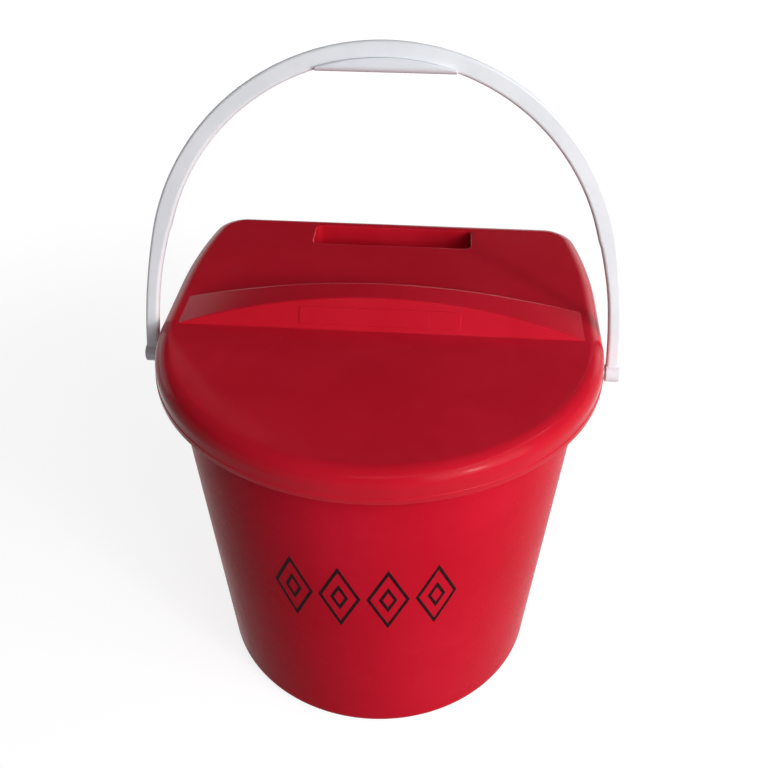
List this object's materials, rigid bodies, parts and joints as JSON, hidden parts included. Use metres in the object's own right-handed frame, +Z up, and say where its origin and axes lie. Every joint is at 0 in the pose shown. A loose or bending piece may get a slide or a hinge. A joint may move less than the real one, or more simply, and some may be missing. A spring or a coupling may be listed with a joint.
{
  "type": "fire bucket with lid",
  "caption": "Red moulded fire bucket with a flat back, a lift-off lid with an arched lifting ridge and a finger pocket, and a white swinging bail with a hand grip.",
  "frame": {"origin": "middle of the base's underside, on the axis of the bucket's round front", "axes": "+Z up through the lid, -Y out of the round front, +Y out of the flat back, +X to the right seen from the front"},
  "size_m": [0.346, 0.327, 0.476],
  "materials": {
    "red_plastic": "glossy moulded red",
    "dark_red_plastic": "glossy moulded red",
    "white_plastic": "smooth moulded white",
    "grip_plastic": "smooth moulded white"
  },
  "bodies": {
    "bucket": {"bucket": "red_plastic"},
    "lid": {"lid": "dark_red_plastic"},
    "bail": {"bail": "white_plastic", "grip": "grip_plastic"}
  },
  "joints": [
    {"name": "bail_hinge", "type": "hinge", "parent": "bucket", "child": "bail", "pos_m": [0, 0, 0.2595], "axis": [1, 0, 0], "range_deg": [-15, 150]},
    {"name": "lid_lift", "type": "slide", "parent": "bucket", "child": "lid", "axis": [0, 0, 1], "range_m": [0, 0.02]}
  ]
}
